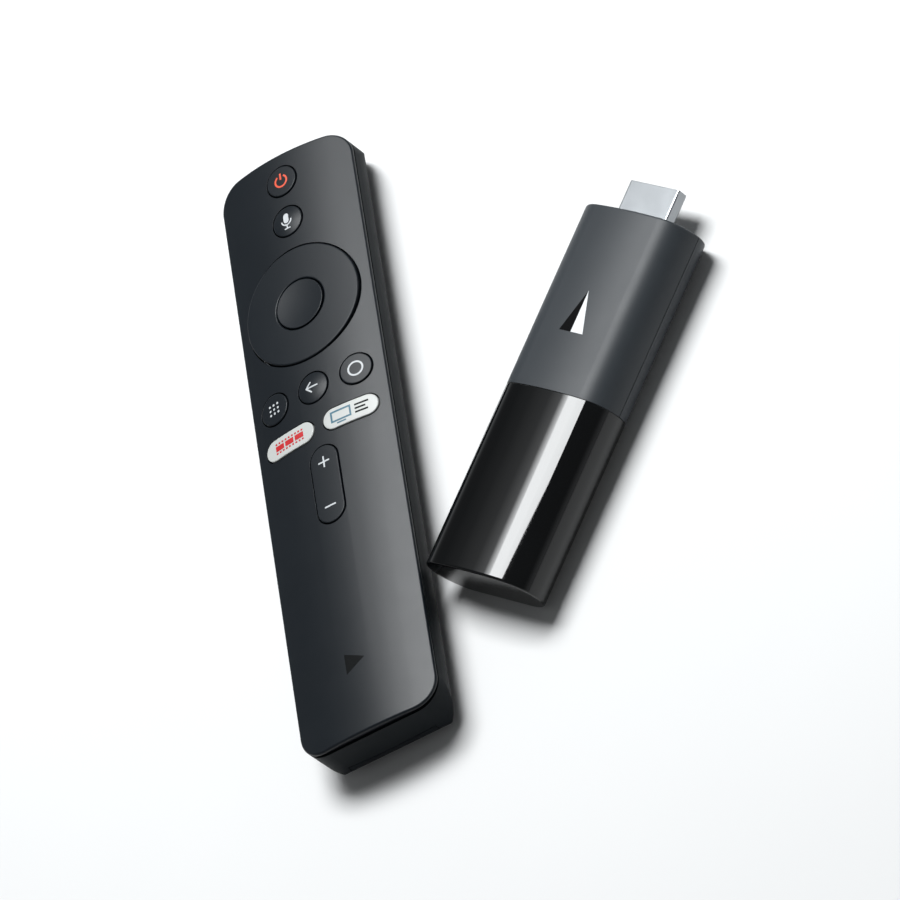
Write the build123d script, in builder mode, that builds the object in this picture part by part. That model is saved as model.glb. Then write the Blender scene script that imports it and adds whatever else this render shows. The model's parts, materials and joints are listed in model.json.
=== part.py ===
"""Streaming media player set: an HDMI stick and its voice remote, lying side by side.

Frame: millimetres, +Z up. The origin is the centre of the remote's flat back, on the surface that both
pieces lie on. +Y runs along the remote towards its power button. The stick lies beside the remote's
right flank, turned clockwise, with its plug pointing away.
"""

import os
from math import atan2, cos, hypot, pi, radians, sin, sqrt

from build123d import *

os.makedirs("parts", exist_ok=True)

# ----------------------------------------------------------------------------------------------------
# Remote: driving dimensions
# ----------------------------------------------------------------------------------------------------
REMOTE_LENGTH = 150.0
REMOTE_WIDTH = 34.6
REMOTE_CORNER = 6.4  # plan corner radius
END_BOW = 0.8  # how far each end bows out between its corners
REMOTE_WALL = 1.6
FACE_EDGE_Z = 11.9  # height of the face along the long edges
FACE_RISE = 2.3  # how far the face is crowned above its long edges
CROWN_Z = FACE_EDGE_Z + FACE_RISE
FACE_RADIUS = ((REMOTE_WIDTH / 2) ** 2 + FACE_RISE**2) / (2 * FACE_RISE)
END_RADIUS = ((REMOTE_WIDTH / 2) ** 2 + END_BOW**2) / (2 * END_BOW)
BACK_SIDE_RADIUS = 9.2  # rounding from the back up the long flanks
BACK_END_RADIUS = 4.8  # rounding from the back up the two ends
FACE_EDGE_FILLET = 0.5
RIM_EDGE_Z, RIM_RISE = 10.85, 1.2  # the bottom shell's rim, arched less than the face
PARTING_GAP = 0.05
INNER_SPLIT_Z = 9.5  # within the walls, the top shell has everything above this height
PLATE_EDGE = 0.6  # thickness of the face plate's overhanging edge
SHADOW_DEPTH = 0.55  # depth of the shadow gap under that edge

# Keys: centres along the remote, sizes and stack heights
POWER_Y, VOICE_Y, DPAD_Y = 67.7, 56.9, 34.7
ROUND_ROW_Y, ROUND_ROW_X = 12.5, 10.65
PILL_Y, PILL_X = 2.5, 7.9
ROCKER_Y = -12.6
ROUND_RADIUS = 3.7
PILL_LENGTH, PILL_WIDTH = 13.2, 5.1
ROCKER_LENGTH, ROCKER_WIDTH = 19.4, 6.9
DPAD_RADIUS, OK_RADIUS = 14.5, 5.9
KEY_GAP = 0.3
DPAD_GAP = 0.35
FLANGE_Z = 10.2  # underside of every key
FLANGE_THICKNESS = 0.7
FLANGE_REACH = 0.7
COLLAR_WALL = 0.8
COLLAR_Z = FLANGE_Z + FLANGE_THICKNESS + 0.15  # underside of the collars that hold the flanges down
KEY_PROUD = 0.25  # how far a plain key stands above the face
DPAD_TOP_Z, DPAD_RISE = CROWN_Z + 0.25, 1.5  # the ring is crowned less than the face, so its sides show

# Electronics under the keys
BOARD_Z, BOARD_THICKNESS = 7.4, 1.2
BOARD_TOP_Z = BOARD_Z + BOARD_THICKNESS
BOARD_LOW_Y, BOARD_HIGH_Y, BOARD_HALF_WIDTH = -22.6, 71.9, 14.2
DOME_HEIGHT, DOME_RADIUS = 0.3, 2.4
SHEET_Z = BOARD_TOP_Z + DOME_HEIGHT
SHEET_THICKNESS = 0.6
SHEET_TOP_Z = SHEET_Z + SHEET_THICKNESS

# Batteries and their bay
CELL_RADIUS, CELL_BODY, CELL_NUB_RADIUS, CELL_NUB = 5.25, 43.5, 1.9, 1.0
CELL_X, CELL_Z = 5.4, 7.1
BAY_LOW_Y, BAY_HIGH_Y = -REMOTE_LENGTH / 2 + 3.2, -24.6
BAY_WALL = 1.0
BAY_HALF_WIDTH = 11.1
BAY_TOP_Z = 10.2
DOOR_HALF_WIDTH, DOOR_HIGH_Y, DOOR_TAIL_Z = 11.0, -17.5, 4.4
DOOR_CLEARANCE = 0.15
TONGUE_LOW_Z, TONGUE_HIGH_Z, TONGUE_REACH = 1.2, 1.6, 0.7
SCREW_X, SCREW_Y = 9.5, -20.6
SCREW_RADIUS, SCREW_HEAD_RADIUS, BOSS_RADIUS = 0.8, 1.35, 2.1
LEDGE_LOW_Z, LEDGE_HIGH_Z = 1.95, 3.4

# ----------------------------------------------------------------------------------------------------
# Stick: driving dimensions
# ----------------------------------------------------------------------------------------------------
STICK_LENGTH = 84.2  # housing only; the plug adds PLUG_REACH
STICK_WIDTH = 30.2
STICK_THICKNESS = 15.2
STICK_SIDE_RADIUS = 7.3
STICK_SEAM_Z = STICK_SIDE_RADIUS
STICK_SEAM_GAP = 0.14
STICK_WALL = 1.6
STICK_EDGE_FILLET = 0.5
SLEEVE_TOP_Y = 0.0  # where the gloss sleeve meets the satin half
SLEEVE_WALL = 1.2
LINER_WALL = 1.0
LINER_CLEARANCE = 0.1
STICK_TURN = 38.3  # degrees clockwise from the remote
STICK_GAP = 0.5  # clear space between the stick's tail corner and the remote's flank
STICK_TAIL_Y = -40.5  # where that corner lies along the remote

PLUG_WIDTH, PLUG_HEIGHT, PLUG_REACH, PLUG_WALL = 13.9, 4.45, 8.2, 0.35
PLUG_Z = STICK_THICKNESS / 2
PLUG_ROOT = 7.0  # how far the plug's shell runs back inside the housing
MAIN_BOARD_Z, MAIN_BOARD_THICKNESS = 6.4, 1.0
MAIN_BOARD_TOP_Z = MAIN_BOARD_Z + MAIN_BOARD_THICKNESS
USB_Y, USB_WIDTH, USB_HEIGHT, USB_DEPTH = -24.0, 7.5, 2.6, 5.2

HALF_LENGTH = STICK_LENGTH / 2
TURN = radians(STICK_TURN)
LOCAL_X = Vector(cos(TURN), -sin(TURN), 0)
LOCAL_Y = Vector(sin(TURN), cos(TURN), 0)
TAIL_CORNER = Vector(REMOTE_WIDTH / 2 + STICK_GAP, STICK_TAIL_Y, 0)
STICK_ORIGIN = TAIL_CORNER + LOCAL_X * (STICK_WIDTH / 2) + LOCAL_Y * HALF_LENGTH
STICK_AXIS = Axis(STICK_ORIGIN, LOCAL_Y)


# ----------------------------------------------------------------------------------------------------
# Shared helpers
# ----------------------------------------------------------------------------------------------------
def save(part, name):
    """Labels a finished piece and writes it as its own STEP file."""
    part.label = name
    export_step(part, f"parts/{name}.step")


def face_z(x):
    """Height of the remote's crowned face at a distance x from its centre line."""
    return CROWN_Z - FACE_RADIUS + sqrt(FACE_RADIUS**2 - x**2)


def stick_flat(z):
    """Horizontal plane at height z in the stick's own directions."""
    return Plane(STICK_ORIGIN + Vector(0, 0, z), x_dir=LOCAL_X, z_dir=(0, 0, 1))


def stick_section(y):
    """Upright plane across the stick at y along it; a sketch there is extruded towards the tail."""
    return Plane(STICK_ORIGIN + LOCAL_Y * y, x_dir=LOCAL_X, z_dir=-LOCAL_Y)


def stick_flank(x):
    """Upright plane along the stick at x; a sketch there has y along the stick and z up."""
    return Plane(STICK_ORIGIN + LOCAL_X * x, x_dir=LOCAL_Y, z_dir=LOCAL_X)


# ----------------------------------------------------------------------------------------------------
# Remote: outer form
# ----------------------------------------------------------------------------------------------------
def remote_plan(inset):
    """The remote's plan: straight flanks, bowed ends and round corners, each run tangent to the next."""
    half_width = REMOTE_WIDTH / 2 - inset
    middle_y = REMOTE_LENGTH / 2 - inset
    corner = REMOTE_CORNER - inset
    end_radius = END_RADIUS - inset
    end_centre_y = middle_y - end_radius
    corner_x = half_width - corner
    corner_y = end_centre_y + sqrt((end_radius - corner) ** 2 - corner_x**2)
    lean = atan2(corner_x, corner_y - end_centre_y)
    halfway = (pi / 2 + lean) / 2
    run_x = end_radius * sin(lean)
    run_y = end_centre_y + end_radius * cos(lean)
    bend_x = corner_x + corner * sin(halfway)
    bend_y = corner_y + corner * cos(halfway)
    with BuildSketch() as plan:
        with BuildLine():
            for x in (1, -1):
                Line((x * half_width, -corner_y), (x * half_width, corner_y))
            for y in (1, -1):
                ThreePointArc((-run_x, y * run_y), (0, y * middle_y), (run_x, y * run_y))
                for x in (1, -1):
                    bend_middle = (x * bend_x, y * bend_y)
                    ThreePointArc((x * run_x, y * run_y), bend_middle, (x * half_width, y * corner_y))
        make_face()
    return plan.sketch


def remote_form(inset):
    """The handset's whole form, or the same form moved in by inset to make its cavity."""
    half_width = REMOTE_WIDTH / 2 - inset
    crown = CROWN_Z - inset
    edge = CROWN_Z - FACE_RADIUS + sqrt((FACE_RADIUS - inset) ** 2 - half_width**2)
    with BuildPart() as form:
        with BuildSketch(Plane.XZ.offset(-REMOTE_LENGTH)) as across:
            with BuildLine():
                Polyline((-half_width, edge), (-half_width, inset), (half_width, inset), (half_width, edge))
                ThreePointArc((half_width, edge), (0, crown), (-half_width, edge))
            make_face()
            fillet(across.vertices().group_by(Axis.Y)[0], BACK_SIDE_RADIUS - inset)
        extrude(amount=2 * REMOTE_LENGTH)
        with BuildSketch(Plane.XY.offset(-1)):
            add(remote_plan(inset))
        extrude(amount=2 * CROWN_Z, mode=Mode.INTERSECT)
        with BuildSketch(Plane.YZ.offset(-REMOTE_WIDTH)) as along:
            with Locations((0, inset)):
                Rectangle(REMOTE_LENGTH - 2 * inset, 2 * CROWN_Z, align=(Align.CENTER, Align.MIN))
            fillet(along.vertices().group_by(Axis.Y)[0], BACK_END_RADIUS - inset)
        extrude(amount=2 * REMOTE_WIDTH, mode=Mode.INTERSECT)
    return form.part


def under_arch(edge, rise):
    """A block that fills everything under a surface crowned across the remote, to trim other parts to it."""
    reach = REMOTE_WIDTH / 2
    crown = edge + rise
    with BuildPart() as block:
        with BuildSketch(Plane.XZ):
            with BuildLine():
                Polyline((-reach, edge), (-reach, 0), (reach, 0), (reach, edge))
                ThreePointArc((reach, edge), (0, crown), (-reach, edge))
            make_face()
        extrude(amount=REMOTE_LENGTH, both=True)
    return block.part


ROUND_KEYS = {
    "power_button": (0, POWER_Y),
    "voice_button": (0, VOICE_Y),
    "apps_button": (-ROUND_ROW_X, ROUND_ROW_Y),
    "back_button": (0, ROUND_ROW_Y),
    "home_button": (ROUND_ROW_X, ROUND_ROW_Y),
}
DOMED_KEYS = ("voice_button", "back_button")
PILL_KEYS = {"left_service_button": (-PILL_X, PILL_Y), "right_service_button": (PILL_X, PILL_Y)}
WHOLE_FORM = remote_form(0.0)
CAVITY = remote_form(REMOTE_WALL)


def key_outlines(grow):
    """Outlines of every key but the four-way ring, grown all round, inside the sketch that is open."""
    with Locations(*ROUND_KEYS.values()):
        Circle(ROUND_RADIUS + grow)
    with Locations(*PILL_KEYS.values()):
        SlotOverall(PILL_LENGTH + 2 * grow, PILL_WIDTH + 2 * grow)
    with Locations((0, ROCKER_Y)):
        SlotOverall(ROCKER_LENGTH + 2 * grow, ROCKER_WIDTH + 2 * grow, rotation=90)


def outer_band(depth, edge, rise):
    """Everything outside the plan moved in by depth and under an arched surface, to cut the shells' walls."""
    with BuildPart() as band:
        with BuildSketch():
            Rectangle(2 * REMOTE_WIDTH, 2 * REMOTE_LENGTH)
            add(remote_plan(depth), mode=Mode.SUBTRACT)
        extrude(amount=CROWN_Z)
        add(under_arch(edge, rise), mode=Mode.INTERSECT)
    return band.part


def collars_and_bosses():
    """What hangs under the face: a collar round each key opening, and bosses for the two case screws."""
    with BuildPart() as fittings:
        with BuildSketch(Plane.XY.offset(COLLAR_Z)):
            key_outlines(KEY_GAP + COLLAR_WALL)
        extrude(amount=CROWN_Z)
        with BuildSketch(Plane.XY.offset(LEDGE_HIGH_Z + 0.1)):
            with Locations((-SCREW_X, SCREW_Y), (SCREW_X, SCREW_Y)):
                Circle(BOSS_RADIUS)
        extrude(amount=CROWN_Z)
        add(under_arch(FACE_EDGE_Z - REMOTE_WALL / 2, FACE_RISE), mode=Mode.INTERSECT)
        with BuildSketch():
            add(remote_plan(REMOTE_WALL))
        extrude(amount=CROWN_Z, mode=Mode.INTERSECT)
    return fittings.part


def build_remote_top_shell():
    with BuildPart() as remote_top_shell:
        add(WHOLE_FORM)
        crown = remote_top_shell.faces().sort_by(Axis.Z)[-1]
        fillet(crown.edges(), FACE_EDGE_FILLET)
        split(bisect_by=Plane.XY.offset(INNER_SPLIT_Z), keep=Keep.TOP)
        add(outer_band(REMOTE_WALL, RIM_EDGE_Z + PARTING_GAP, RIM_RISE), mode=Mode.SUBTRACT)
        add(outer_band(SHADOW_DEPTH, FACE_EDGE_Z - PLATE_EDGE, FACE_RISE), mode=Mode.SUBTRACT)
        add(CAVITY, mode=Mode.SUBTRACT)
        add(collars_and_bosses())
        with BuildSketch(Plane.XY.offset(LEDGE_HIGH_Z)):
            with Locations((-SCREW_X, SCREW_Y), (SCREW_X, SCREW_Y)):
                Circle(SCREW_RADIUS + 0.02)
        extrude(amount=6, mode=Mode.SUBTRACT)
        # key openings
        with BuildSketch(Plane.XY.offset(COLLAR_Z - 1)):
            key_outlines(KEY_GAP)
            with Locations((0, DPAD_Y)):
                Circle(DPAD_RADIUS + DPAD_GAP)
        extrude(amount=CROWN_Z, mode=Mode.SUBTRACT)
    save(remote_top_shell.part, "remote_top_shell")


def build_remote_bottom_shell():
    bay_length = BAY_HIGH_Y - BAY_LOW_Y
    bay_y = (BAY_HIGH_Y + BAY_LOW_Y) / 2
    opening_length = DOOR_HIGH_Y + REMOTE_LENGTH / 2 + 2 * DOOR_CLEARANCE
    opening_y = -REMOTE_LENGTH / 2 - DOOR_CLEARANCE
    with BuildPart() as remote_bottom_shell:
        add(WHOLE_FORM)
        add(under_arch(RIM_EDGE_Z, RIM_RISE), mode=Mode.INTERSECT)
        add(CAVITY, mode=Mode.SUBTRACT)
        with BuildSketch(Plane.XY.offset(INNER_SPLIT_Z)):
            add(remote_plan(REMOTE_WALL))
        extrude(amount=CROWN_Z, mode=Mode.SUBTRACT)
        # walls round the two cells, and the ledge that carries the case screws
        with BuildSketch(Plane.XY.offset(LEDGE_LOW_Z)):
            with Locations((0, bay_y)):
                Rectangle(2 * (BAY_HALF_WIDTH + BAY_WALL), bay_length + 2 * BAY_WALL)
                Rectangle(2 * BAY_HALF_WIDTH, bay_length, mode=Mode.SUBTRACT)
        extrude(amount=BAY_TOP_Z - LEDGE_LOW_Z)
        with BuildSketch(Plane.XY.offset(LEDGE_LOW_Z)):
            with Locations((0, BAY_HIGH_Y)):
                Rectangle(26, DOOR_HIGH_Y - BAY_HIGH_Y + 1.2, align=(Align.CENTER, Align.MIN))
        extrude(amount=LEDGE_HIGH_Z - LEDGE_LOW_Z)
        # posts under the circuit board
        with BuildSketch(Plane.XY.offset(REMOTE_WALL / 2)):
            with Locations((-11, 66), (11, 66), (-11, 24), (11, 24), (-11, -14), (11, -14)):
                Circle(1.4)
        extrude(amount=BOARD_Z - REMOTE_WALL / 2)
        # opening for the battery door, open at the tail, with grooves for the door's tongues
        with BuildSketch(Plane.XY.offset(-1)):
            with Locations((0, opening_y)):
                Rectangle(
                    2 * (DOOR_HALF_WIDTH + DOOR_CLEARANCE), opening_length, align=(Align.CENTER, Align.MIN)
                )
        extrude(amount=1 + LEDGE_LOW_Z, mode=Mode.SUBTRACT)
        with BuildSketch(Plane.XY.offset(-1)):
            with Locations((0, opening_y)):
                Rectangle(
                    2 * (DOOR_HALF_WIDTH + DOOR_CLEARANCE),
                    REMOTE_WALL + 2 * DOOR_CLEARANCE,
                    align=(Align.CENTER, Align.MIN),
                )
        extrude(amount=1 + DOOR_TAIL_Z + DOOR_CLEARANCE, mode=Mode.SUBTRACT)
        with BuildSketch(Plane.XY.offset(TONGUE_LOW_Z - DOOR_CLEARANCE)):
            with Locations((0, opening_y)):
                Rectangle(
                    2 * (DOOR_HALF_WIDTH + TONGUE_REACH + DOOR_CLEARANCE),
                    opening_length,
                    align=(Align.CENTER, Align.MIN),
                )
        extrude(amount=TONGUE_HIGH_Z - TONGUE_LOW_Z + 2 * DOOR_CLEARANCE, mode=Mode.SUBTRACT)
        # counterbored holes for the case screws
        with Locations(
            Plane((-SCREW_X, SCREW_Y, LEDGE_LOW_Z), z_dir=(0, 0, -1)),
            Plane((SCREW_X, SCREW_Y, LEDGE_LOW_Z), z_dir=(0, 0, -1)),
        ):
            CounterBoreHole(SCREW_RADIUS + 0.15, SCREW_HEAD_RADIUS + 0.15, 0.9, LEDGE_HIGH_Z)
        # sound hole for the microphone, in the far end
        with BuildSketch(Plane.XZ.offset(-REMOTE_LENGTH / 2 - 1)):
            with Locations((0, BOARD_Z + 0.6)):
                Circle(0.6)
        extrude(amount=2 + REMOTE_WALL, mode=Mode.SUBTRACT)
    save(remote_bottom_shell.part, "remote_bottom_shell")


def build_battery_door():
    length = DOOR_HIGH_Y + REMOTE_LENGTH / 2
    low_y = -REMOTE_LENGTH / 2
    with BuildPart() as battery_door:
        add(WHOLE_FORM)
        with BuildSketch(Plane.XY):
            with Locations((0, low_y)):
                Rectangle(2 * DOOR_HALF_WIDTH, length, align=(Align.CENTER, Align.MIN))
        extrude(amount=DOOR_TAIL_Z, mode=Mode.INTERSECT)
        # the inside is open down to the door's own wall
        with BuildSketch(Plane.XY.offset(REMOTE_WALL)):
            with Locations((0, low_y + REMOTE_WALL)):
                Rectangle(2 * REMOTE_WIDTH, length, align=(Align.CENTER, Align.MIN))
        extrude(amount=CROWN_Z, mode=Mode.SUBTRACT)
        # side tongues that run in the shell's grooves
        with BuildSketch(Plane.XY.offset(TONGUE_LOW_Z)):
            with Locations((0, low_y + BACK_END_RADIUS)):
                Rectangle(
                    2 * (DOOR_HALF_WIDTH + TONGUE_REACH),
                    length - BACK_END_RADIUS,
                    align=(Align.CENTER, Align.MIN),
                )
        extrude(amount=TONGUE_HIGH_Z - TONGUE_LOW_Z)
        # finger ridges near the inner end of the door
        with BuildSketch(Plane.XY):
            with Locations((0, DOOR_HIGH_Y - 8)):
                with GridLocations(0, 1.6, 1, 5):
                    SlotOverall(12, 0.8)
        extrude(amount=0.4, mode=Mode.SUBTRACT)
    save(battery_door.part, "battery_door")


# ----------------------------------------------------------------------------------------------------
# Remote: keys
# ----------------------------------------------------------------------------------------------------
def build_round_key(name, centre):
    """A round key with a retaining flange, trimmed to the face or finished with a low dome."""
    top = face_z(centre[0])
    with BuildPart() as key:
        with BuildSketch(Plane.XY.offset(FLANGE_Z)):
            with Locations(centre):
                Circle(ROUND_RADIUS + FLANGE_REACH)
        extrude(amount=FLANGE_THICKNESS)
        add(under_arch(FACE_EDGE_Z - REMOTE_WALL - 0.2, FACE_RISE), mode=Mode.INTERSECT)
        with BuildSketch(Plane.XY.offset(FLANGE_Z)):
            with Locations(centre):
                Circle(ROUND_RADIUS)
        extrude(amount=CROWN_Z)
        if name in DOMED_KEYS:
            dome_radius = 15.0
            with Locations((*centre, top + 0.55 - dome_radius)):
                Sphere(dome_radius, mode=Mode.INTERSECT)
        else:
            add(under_arch(FACE_EDGE_Z + KEY_PROUD, FACE_RISE), mode=Mode.INTERSECT)
        fillet(key.faces().sort_by(Axis.Z)[-1].edges(), 0.22)
    save(key.part, name)


def build_slot_key(name, centre, length, width, turn):
    """A long key with round ends, trimmed to the face. Tabs at its waist hold it in."""
    with BuildPart() as key:
        with BuildSketch(Plane.XY.offset(FLANGE_Z)):
            with Locations(centre):
                Rectangle(4, width + 2 * FLANGE_REACH, rotation=turn)
        extrude(amount=FLANGE_THICKNESS)
        with BuildSketch(Plane.XY.offset(FLANGE_Z)):
            with Locations(centre):
                SlotOverall(length, width, rotation=turn)
        extrude(amount=CROWN_Z)
        add(under_arch(FACE_EDGE_Z + KEY_PROUD, FACE_RISE), mode=Mode.INTERSECT)
        fillet(key.faces().sort_by(Axis.Z)[-1].edges(), 0.2)
    save(key.part, name)


def build_dpad_ring():
    """The four-way ring: a top plate on two skirts, flatter than the face so that its sides stand proud."""
    inner = OK_RADIUS + KEY_GAP
    with BuildPart() as dpad_ring:
        with BuildSketch(Plane.XY.offset(FLANGE_Z)):
            with Locations((0, DPAD_Y)):
                Circle(DPAD_RADIUS)
                Circle(DPAD_RADIUS - 1.6, mode=Mode.SUBTRACT)
                Circle(inner + 2.9)
                Circle(inner + 1.9, mode=Mode.SUBTRACT)
        extrude(amount=3)
        # stop tabs under the face at the two ends, where the crowned shell leaves room
        with BuildSketch(Plane.XY.offset(FLANGE_Z)):
            with Locations((0, DPAD_Y)):
                Circle(DPAD_RADIUS + 1.2)
                Circle(DPAD_RADIUS - 1.6, mode=Mode.SUBTRACT)
                Rectangle(14, 4 * DPAD_RADIUS, mode=Mode.INTERSECT)
        extrude(amount=1.0)
        with BuildSketch(Plane.XY.offset(FLANGE_Z + 2.7)):
            with Locations((0, DPAD_Y)):
                Circle(DPAD_RADIUS)
                Circle(inner, mode=Mode.SUBTRACT)
        extrude(amount=3)
        add(under_arch(DPAD_TOP_Z - DPAD_RISE, DPAD_RISE), mode=Mode.INTERSECT)
        fillet(dpad_ring.faces().sort_by(Axis.Z)[-1].edges(), 0.3)
    save(dpad_ring.part, "dpad_ring")


def build_ok_button():
    """The centre key, with a shallow dish for the fingertip."""
    dish_radius = 60.0
    with BuildPart() as ok_button:
        with BuildSketch(Plane.XY.offset(FLANGE_Z)):
            with Locations((0, DPAD_Y)):
                Circle(OK_RADIUS + FLANGE_REACH)
        extrude(amount=FLANGE_THICKNESS)
        with BuildSketch(Plane.XY.offset(FLANGE_Z)):
            with Locations((0, DPAD_Y)):
                Circle(OK_RADIUS)
        extrude(amount=CROWN_Z + 1 - FLANGE_Z)
        with Locations((0, DPAD_Y, DPAD_TOP_Z - 0.22 + dish_radius)):
            Sphere(dish_radius, mode=Mode.SUBTRACT)
        fillet(ok_button.edges().group_by(Axis.Z)[-1], 0.15)
    save(ok_button.part, "ok_button")


def build_dpad_carrier():
    """A ring inside the four-way ring's hollow underside; the two together rock about two axes."""
    with BuildPart() as dpad_carrier:
        with BuildSketch(Plane.XY.offset(FLANGE_Z)):
            with Locations((0, DPAD_Y)):
                Circle(DPAD_RADIUS - 2.0)
                Circle(OK_RADIUS + KEY_GAP + 3.3, mode=Mode.SUBTRACT)
        extrude(amount=1.6)
    save(dpad_carrier.part, "dpad_carrier")


def build_dpad_pad():
    """Silicone ring between the four-way ring and the keypad sheet; it lets the ring rock."""
    with BuildPart() as dpad_pad:
        with BuildSketch(Plane.XY.offset(SHEET_TOP_Z)):
            with Locations((0, DPAD_Y)):
                Circle(DPAD_RADIUS - 0.2)
                Circle(OK_RADIUS + 2.4, mode=Mode.SUBTRACT)
        extrude(amount=FLANGE_Z - SHEET_TOP_Z)
    save(dpad_pad.part, "dpad_pad")


def key_contacts():
    """Centres of the switches under the keys."""
    spots = list(ROUND_KEYS.values()) + list(PILL_KEYS.values())
    spots += [(0, ROCKER_Y - 5.6), (0, ROCKER_Y + 5.6), (0, DPAD_Y)]
    spots += [(0, DPAD_Y - 11), (0, DPAD_Y + 11), (-11, DPAD_Y), (11, DPAD_Y)]
    return spots


def board_outline(inset):
    """Plan of the circuit board, less the clearance round the case screws' bosses, in the open sketch."""
    with Locations((0, (BOARD_HIGH_Y + BOARD_LOW_Y) / 2)):
        RectangleRounded(2 * (BOARD_HALF_WIDTH - inset), BOARD_HIGH_Y - BOARD_LOW_Y - 2 * inset, 4)
    with Locations((-SCREW_X, SCREW_Y), (SCREW_X, SCREW_Y)):
        Circle(BOSS_RADIUS + 0.3 + inset, mode=Mode.SUBTRACT)


def build_keypad_sheet():
    """One silicone sheet over the board, with a raised post under each key but the four-way ring."""
    posts = key_contacts()[:-4]
    with BuildPart() as keypad_sheet:
        with BuildSketch(Plane.XY.offset(SHEET_Z)):
            board_outline(0.3)
        extrude(amount=SHEET_THICKNESS)
        with BuildSketch(Plane.XY.offset(SHEET_TOP_Z)):
            with Locations(*posts):
                Circle(2.2)
        extrude(amount=FLANGE_Z - SHEET_TOP_Z)
    save(keypad_sheet.part, "keypad_sheet")


def build_dome_switches():
    """Metal snap switches, one low stepped disc each, on the board under the keypad sheet."""
    with BuildPart() as dome_switches:
        with BuildSketch(Plane.XY.offset(BOARD_TOP_Z)):
            with Locations(*key_contacts()):
                Circle(DOME_RADIUS)
        extrude(amount=DOME_HEIGHT / 2)
        with BuildSketch(Plane.XY.offset(BOARD_TOP_Z)):
            with Locations(*key_contacts()):
                Circle(0.7 * DOME_RADIUS)
        extrude(amount=DOME_HEIGHT)
    save(dome_switches.part, "dome_switches")


# ----------------------------------------------------------------------------------------------------
# Remote: electronics and batteries
# ----------------------------------------------------------------------------------------------------
def build_remote_board():
    with BuildPart() as remote_board:
        with BuildSketch(Plane.XY.offset(BOARD_Z)):
            board_outline(0)
        extrude(amount=BOARD_THICKNESS)
    save(remote_board.part, "remote_board")


def build_block(name, centre, size, plane=Plane.XY):
    """A chip or pad: a plain block standing on the given plane, with its top edges eased."""
    with BuildPart() as block:
        with BuildSketch(plane):
            with Locations(centre):
                Rectangle(size[0], size[1])
        extrude(amount=size[2])
        chamfer(block.faces().sort_by(Axis.Z)[-1].edges(), 0.12)
    save(block.part, name)


def build_microphone():
    with BuildPart() as microphone:
        with BuildSketch(Plane.XY.offset(BOARD_Z)):
            with Locations((0, BOARD_HIGH_Y - 2.0)):
                Rectangle(3.5, 2.6)
        extrude(amount=-1.0)
    save(microphone.part, "microphone")


def cell_places():
    """(x, direction of the plus end) of the two cells."""
    return ((-CELL_X, 1), (CELL_X, -1))


SPRING_LENGTH = BAY_HIGH_Y - BAY_LOW_Y - 0.7 - CELL_BODY - CELL_NUB


def build_cell(name, x, plus):
    """An AAA cell: steel can with a plus nub. The can starts past the spring at its minus end."""
    nub_end_y = BAY_HIGH_Y - 0.35 if plus > 0 else BAY_LOW_Y + 0.35
    can_end_y = nub_end_y - plus * CELL_NUB
    with BuildPart() as cell:
        with BuildSketch(Plane((x, can_end_y, CELL_Z), x_dir=(1, 0, 0), z_dir=(0, -plus, 0))):
            Circle(CELL_RADIUS)
        extrude(amount=CELL_BODY)
        fillet(cell.edges(), 0.35)
        with BuildSketch(Plane((x, can_end_y, CELL_Z), x_dir=(1, 0, 0), z_dir=(0, plus, 0))):
            Circle(CELL_NUB_RADIUS)
        extrude(amount=CELL_NUB)
    save(cell.part, name)


def build_battery_plates():
    """Sheet-metal contact plates on the bay's end walls, one behind each cell end."""
    with BuildPart() as battery_plates:
        for wall_y, out in ((BAY_LOW_Y, -1), (BAY_HIGH_Y, 1)):
            with BuildSketch(Plane((0, wall_y, CELL_Z), x_dir=(1, 0, 0), z_dir=(0, -out, 0))):
                with Locations((-CELL_X, 0), (CELL_X, 0)):
                    Rectangle(8.6, 8.0)
            extrude(amount=0.3)
    save(battery_plates.part, "battery_plates")


def build_battery_springs():
    """Conical springs that press on the minus ends, each a coiled wire."""
    wire = 0.3
    travel = SPRING_LENGTH - 0.1 - 2 * wire
    with BuildPart() as battery_springs:
        for x, plus in cell_places():
            start_y = (BAY_LOW_Y + 0.35 if plus > 0 else BAY_HIGH_Y - 0.35) + plus * wire
            with BuildLine():
                coil = Helix(
                    pitch=travel / 2.5,
                    height=travel,
                    radius=3.6,
                    center=(x, start_y, CELL_Z),
                    direction=(0, plus, 0),
                    cone_angle=20,
                )
            with BuildSketch(Plane(coil @ 0, z_dir=coil % 0)):
                Circle(wire)
            sweep()
    save(battery_springs.part, "battery_springs")


def build_case_screws():
    """Two pan-head screws, driven from inside the battery opening."""
    head_top = LEDGE_LOW_Z + 0.9
    with BuildPart() as case_screws:
        with BuildSketch(Plane.XY.offset(head_top)):
            with Locations((-SCREW_X, SCREW_Y), (SCREW_X, SCREW_Y)):
                Circle(SCREW_HEAD_RADIUS)
        extrude(amount=-0.75)
        with BuildSketch(Plane.XY.offset(head_top)):
            with Locations((-SCREW_X, SCREW_Y), (SCREW_X, SCREW_Y)):
                Circle(SCREW_RADIUS)
        extrude(amount=5)
        with BuildSketch(Plane.XY.offset(head_top - 0.75)):
            with Locations((-SCREW_X, SCREW_Y), (SCREW_X, SCREW_Y)):
                Rectangle(1.6, 0.3)
                Rectangle(0.3, 1.6)
        extrude(amount=0.4, mode=Mode.SUBTRACT)
    save(case_screws.part, "case_screws")


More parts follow.
